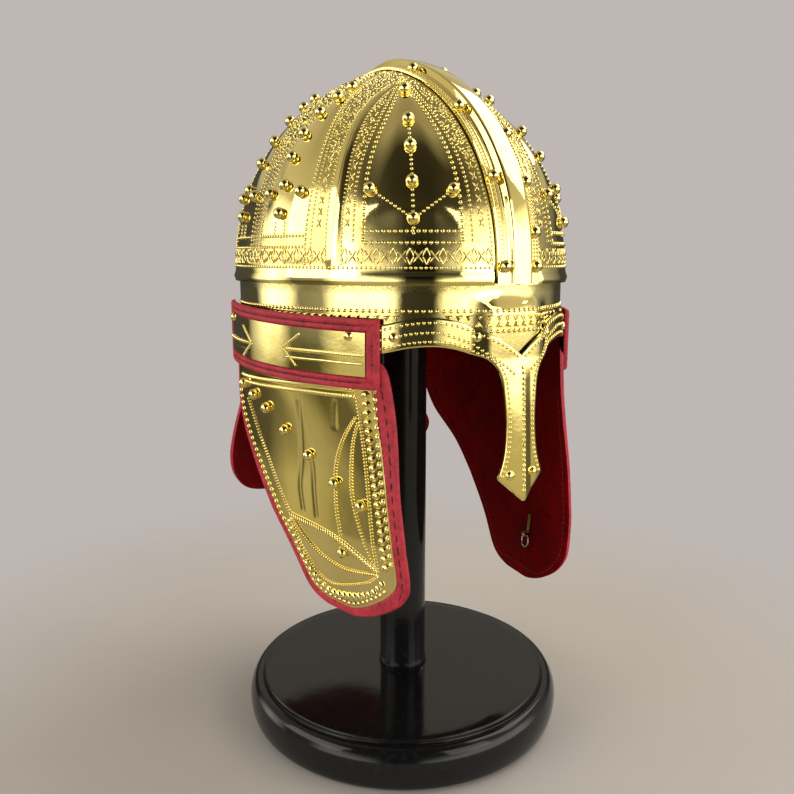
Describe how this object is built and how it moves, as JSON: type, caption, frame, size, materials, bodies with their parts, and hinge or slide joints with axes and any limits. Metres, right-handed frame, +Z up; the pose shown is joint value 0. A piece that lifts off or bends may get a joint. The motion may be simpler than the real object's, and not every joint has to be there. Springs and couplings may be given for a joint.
{
  "type": "roman ridge helmet on display stand",
  "caption": "Brass Roman ridge helmet with a studded bowl, nasal, temple plates, leather-backed cheek and neck guards, resting on a round black wooden display stand.",
  "frame": {"origin": "centre of the stand's underside, on the surface that it stands on", "axes": "+Z up along the post, -Y the way the face looks, -X the wearer's right"},
  "size_m": [0.216, 0.2651, 0.4378],
  "materials": {
    "brass": "polished, embossed",
    "leather": "dyed crimson, semi-matt",
    "lacquer": "black gloss lacquer",
    "steel": "bright"
  },
  "bodies": {
    "root": {"stand_base": "lacquer", "stand_post": "lacquer", "ridge": "brass", "base_band": "brass", "brow_nasal": "brass", "neck_leather": "leather", "neck_plate": "brass", "bowl_right": "brass", "bowl_left": "brass", "temple_leather_right": "leather", "temple_leather_left": "leather", "temple_plate_right": "brass", "temple_plate_left": "brass", "cheek_leather_right": "leather", "cheek_leather_left": "leather", "cheek_plate_right": "brass", "cheek_plate_left": "brass", "cheek_tab_right": "brass", "cheek_tab_left": "brass", "cheek_ring_right": "steel", "cheek_ring_left": "steel"}
  },
  "joints": []
}
